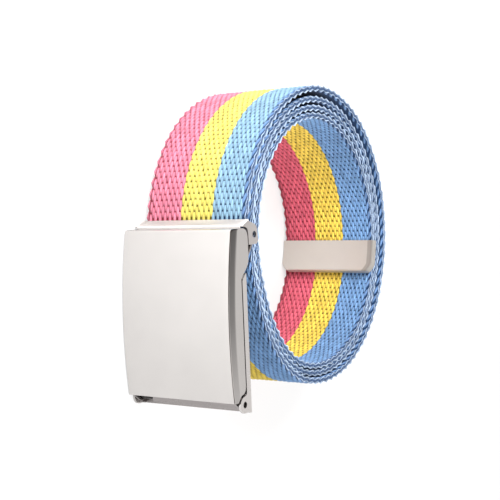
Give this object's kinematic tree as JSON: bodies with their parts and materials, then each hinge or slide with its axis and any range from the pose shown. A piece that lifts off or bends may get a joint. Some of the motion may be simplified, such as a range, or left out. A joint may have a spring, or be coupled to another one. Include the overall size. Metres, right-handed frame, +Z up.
{
  "type": "canvas web belt",
  "caption": "Striped woven web belt rolled on its edge, with a metal strap tip and a hinged flip-top buckle clamped on its outer end.",
  "frame": {"origin": "middle of the footprint, on the surface that the rolled belt's lower edge rests on", "axes": "+Z up along the coil's axis and the strap's width; -Y out through the buckle's cover; +X along the buckle from its clamp to its hinge"},
  "size_m": [0.1064, 0.1138, 0.041],
  "materials": {
    "webbing": "coarse woven cotton webbing in three equal stripes, rose, yellow and light blue",
    "tip_metal": "bright plated sheet",
    "frame_metal": "bright plated sheet",
    "cover_metal": "satin-bright plated sheet",
    "pin_metal": "plain cut wire"
  },
  "bodies": {
    "belt": {"strap": "webbing", "strap_tip": "tip_metal", "buckle_frame": "frame_metal", "clamp_jaw": "frame_metal", "cover_pin": "pin_metal", "clamp_pin_lower": "pin_metal", "clamp_pin_upper": "pin_metal"},
    "cover": {"buckle_cover": "cover_metal"}
  },
  "joints": [
    {"name": "cover_hinge", "type": "hinge", "parent": "belt", "child": "cover", "pos_m": [0.05046, -0.04833, 0.0205], "axis": [0, 0, 1], "range_deg": [0, 100]}
  ]
}
